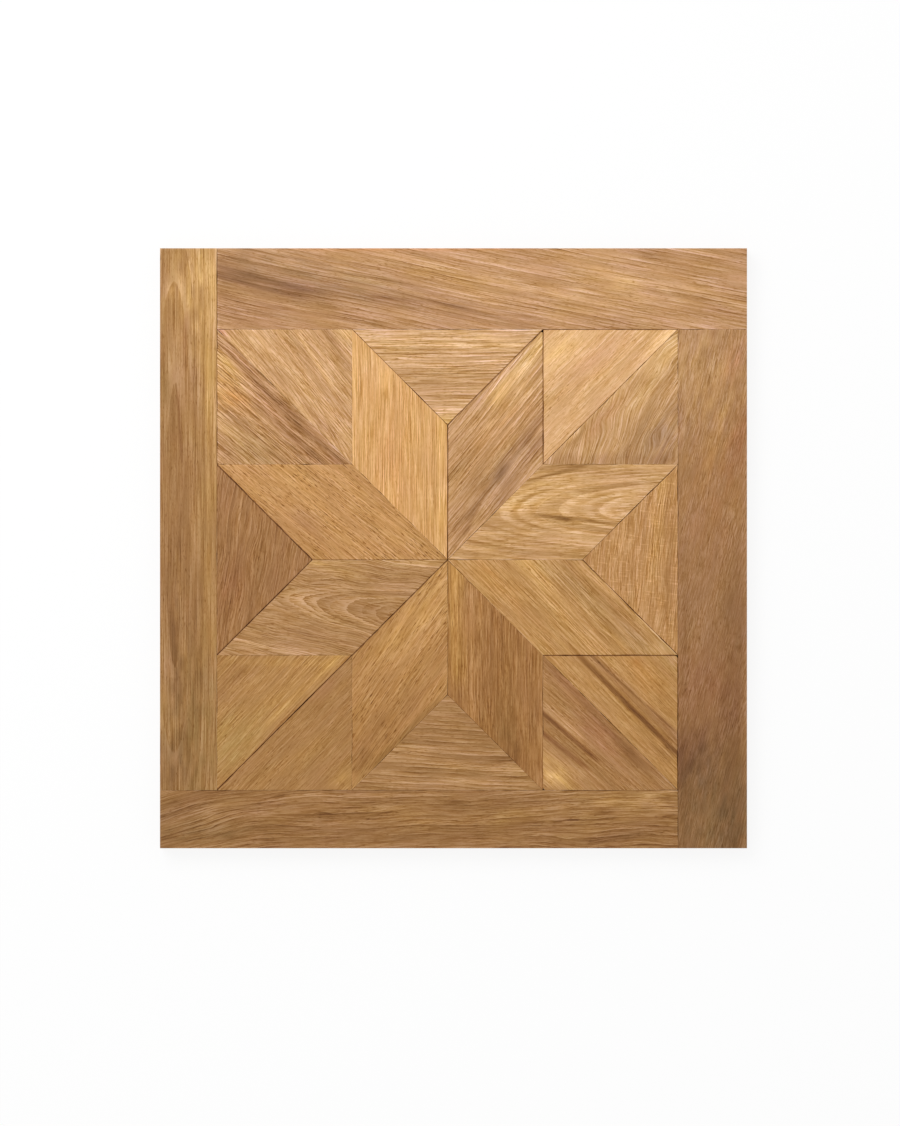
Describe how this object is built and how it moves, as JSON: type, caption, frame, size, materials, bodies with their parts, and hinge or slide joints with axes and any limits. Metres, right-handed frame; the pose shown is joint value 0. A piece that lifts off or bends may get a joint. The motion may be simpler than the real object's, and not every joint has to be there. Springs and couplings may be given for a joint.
{
  "type": "parquet panel",
  "caption": "Oak parquet floor panel: a star of tongued solid blocks in a square field, framed by boards laid pinwheel fashion and grooved round the rim.",
  "frame": {"origin": "under the middle of the panel, on its back", "axes": "+Z out of the face, +Y towards the top of the picture, +X to its right"},
  "size_m": [0.587, 0.6, 0.02],
  "materials": {
    "oak_pale": "oiled oak, satin, open grain",
    "oak_honey": "oiled oak, satin, open grain",
    "oak_tan": "oiled oak, satin, open grain",
    "oak_brown": "oiled oak, satin, open grain"
  },
  "bodies": {
    "root": {"star_point_top_left": "oak_pale", "side_triangle_top": "oak_pale", "corner_top_left_upper": "oak_pale", "corner_top_right_upper": "oak_pale", "border_top": "oak_honey", "star_point_top_right": "oak_honey", "star_point_right_upper": "oak_honey", "star_point_right_lower": "oak_honey", "star_point_left_upper": "oak_honey", "side_triangle_right": "oak_honey", "corner_top_left_lower": "oak_honey", "corner_top_right_lower": "oak_honey", "border_left": "oak_tan", "star_point_bottom_left": "oak_tan", "star_point_left_lower": "oak_tan", "corner_bottom_left_upper": "oak_tan", "corner_bottom_left_lower": "oak_tan", "corner_bottom_right_upper": "oak_tan", "corner_bottom_right_lower": "oak_tan", "border_right": "oak_brown", "border_bottom": "oak_brown", "star_point_bottom_right": "oak_brown", "side_triangle_left": "oak_brown", "side_triangle_bottom": "oak_brown"}
  },
  "joints": []
}
